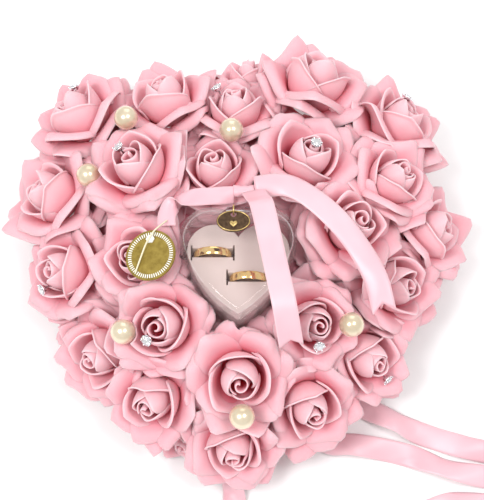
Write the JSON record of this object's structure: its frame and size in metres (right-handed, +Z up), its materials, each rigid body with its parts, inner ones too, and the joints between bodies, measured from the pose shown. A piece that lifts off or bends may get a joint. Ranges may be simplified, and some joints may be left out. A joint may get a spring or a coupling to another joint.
{
  "type": "ring bearer pillow",
  "caption": "Heart-shaped cushion covered in pink foam roses with pearls and stones, carrying a clear hinged heart box that holds wedding rings under a satin bow.",
  "frame": {"origin": "middle of the heart-shaped base, on the surface it rests on", "axes": "+Z up, the heart's tip points to -Y, its two lobes to +Y"},
  "size_m": [0.2759, 0.2872, 0.1065],
  "materials": {
    "rose_foam": "matt closed-cell foam sheet",
    "pearl": "pearl lustre",
    "satin_ribbon": "satin",
    "felt": "pressed felt",
    "board": "plain grey board",
    "cover_cloth": "satin cloth",
    "core_foam": "open-cell foam",
    "pin_steel": "drawn wire",
    "setting_silver": "bright plated",
    "rhinestone": "faceted crystal",
    "clear_plastic": "clear moulded polystyrene",
    "insert_foam": "flocked foam",
    "ring_gold": "polished gold colour",
    "tag_gold": "metallic gold card with white dashes",
    "tag_white": "moulded white",
    "tag_string": "cotton string",
    "charm_bronze": "antiqued"
  },
  "bodies": {
    "root": {"rose_01": "rose_foam", "rose_02": "rose_foam", "rose_03": "rose_foam", "rose_04": "rose_foam", "rose_05": "rose_foam", "rose_06": "rose_foam", "rose_07": "rose_foam", "rose_08": "rose_foam", "rose_09": "rose_foam", "rose_10": "rose_foam", "rose_11": "rose_foam", "rose_12": "rose_foam", "rose_13": "rose_foam", "rose_14": "rose_foam", "rose_15": "rose_foam", "rose_16": "rose_foam", "rose_17": "rose_foam", "rose_18": "rose_foam", "rose_19": "rose_foam", "rose_20": "rose_foam", "rose_21": "rose_foam", "rose_22": "rose_foam", "rose_23": "rose_foam", "rose_24": "rose_foam", "rose_25": "rose_foam", "rose_26": "rose_foam", "pearl_1": "pearl", "pearl_2": "pearl", "pearl_3": "pearl", "pearl_4": "pearl", "pearl_5": "pearl", "pearl_6": "pearl", "trailing_ribbon_1": "satin_ribbon", "trailing_ribbon_2": "satin_ribbon", "trailing_ribbon_3": "satin_ribbon", "trailing_ribbon_4": "satin_ribbon", "bow_knot": "satin_ribbon", "bow_loop": "satin_ribbon", "bow_tail_right": "satin_ribbon", "felt_backing": "felt", "base_board": "board", "cover_fabric": "cover_cloth", "foam_core": "core_foam", "pearl_pins": "pin_steel", "stone_settings": "setting_silver", "rhinestones": "rhinestone", "ring_box_base": "clear_plastic", "hinge_pin": "pin_steel", "insert_card": "board", "ring_insert": "insert_foam"},
    "lid": {"ring_box_lid": "clear_plastic", "bow_tail_left": "satin_ribbon", "charm_ring": "charm_bronze"},
    "left_ring": {"ring_left": "ring_gold"},
    "right_ring": {"ring_right": "ring_gold"},
    "tag": {"tag_disc": "tag_gold", "tag_lock": "tag_white", "tag_cord": "tag_string"},
    "charm": {"charm_plate": "charm_bronze"}
  },
  "joints": [
    {"name": "lid_hinge", "type": "hinge", "parent": "root", "child": "lid", "pos_m": [-0.002, 0.00756, 0.0862], "axis": [-1, 0, 0], "range_deg": [0, 70]},
    {"name": "left_ring_lift", "type": "slide", "parent": "root", "child": "left_ring", "axis": [0, 0, 1], "range_m": [0, 0.012]},
    {"name": "right_ring_lift", "type": "slide", "parent": "root", "child": "right_ring", "axis": [0, 0, 1], "range_m": [0, 0.012]},
    {"name": "tag_swing", "type": "hinge", "parent": "root", "child": "tag", "pos_m": [-0.04098, 0.0015, 0.08765], "axis": [-0.9511, 0, -0.309], "range_deg": [0, 45]},
    {"name": "charm_swing", "type": "hinge", "parent": "lid", "child": "charm", "pos_m": [-0.0045, -0.0012, 0.1035], "axis": [-1, 0, 0], "range_deg": [0, 25]}
  ]
}
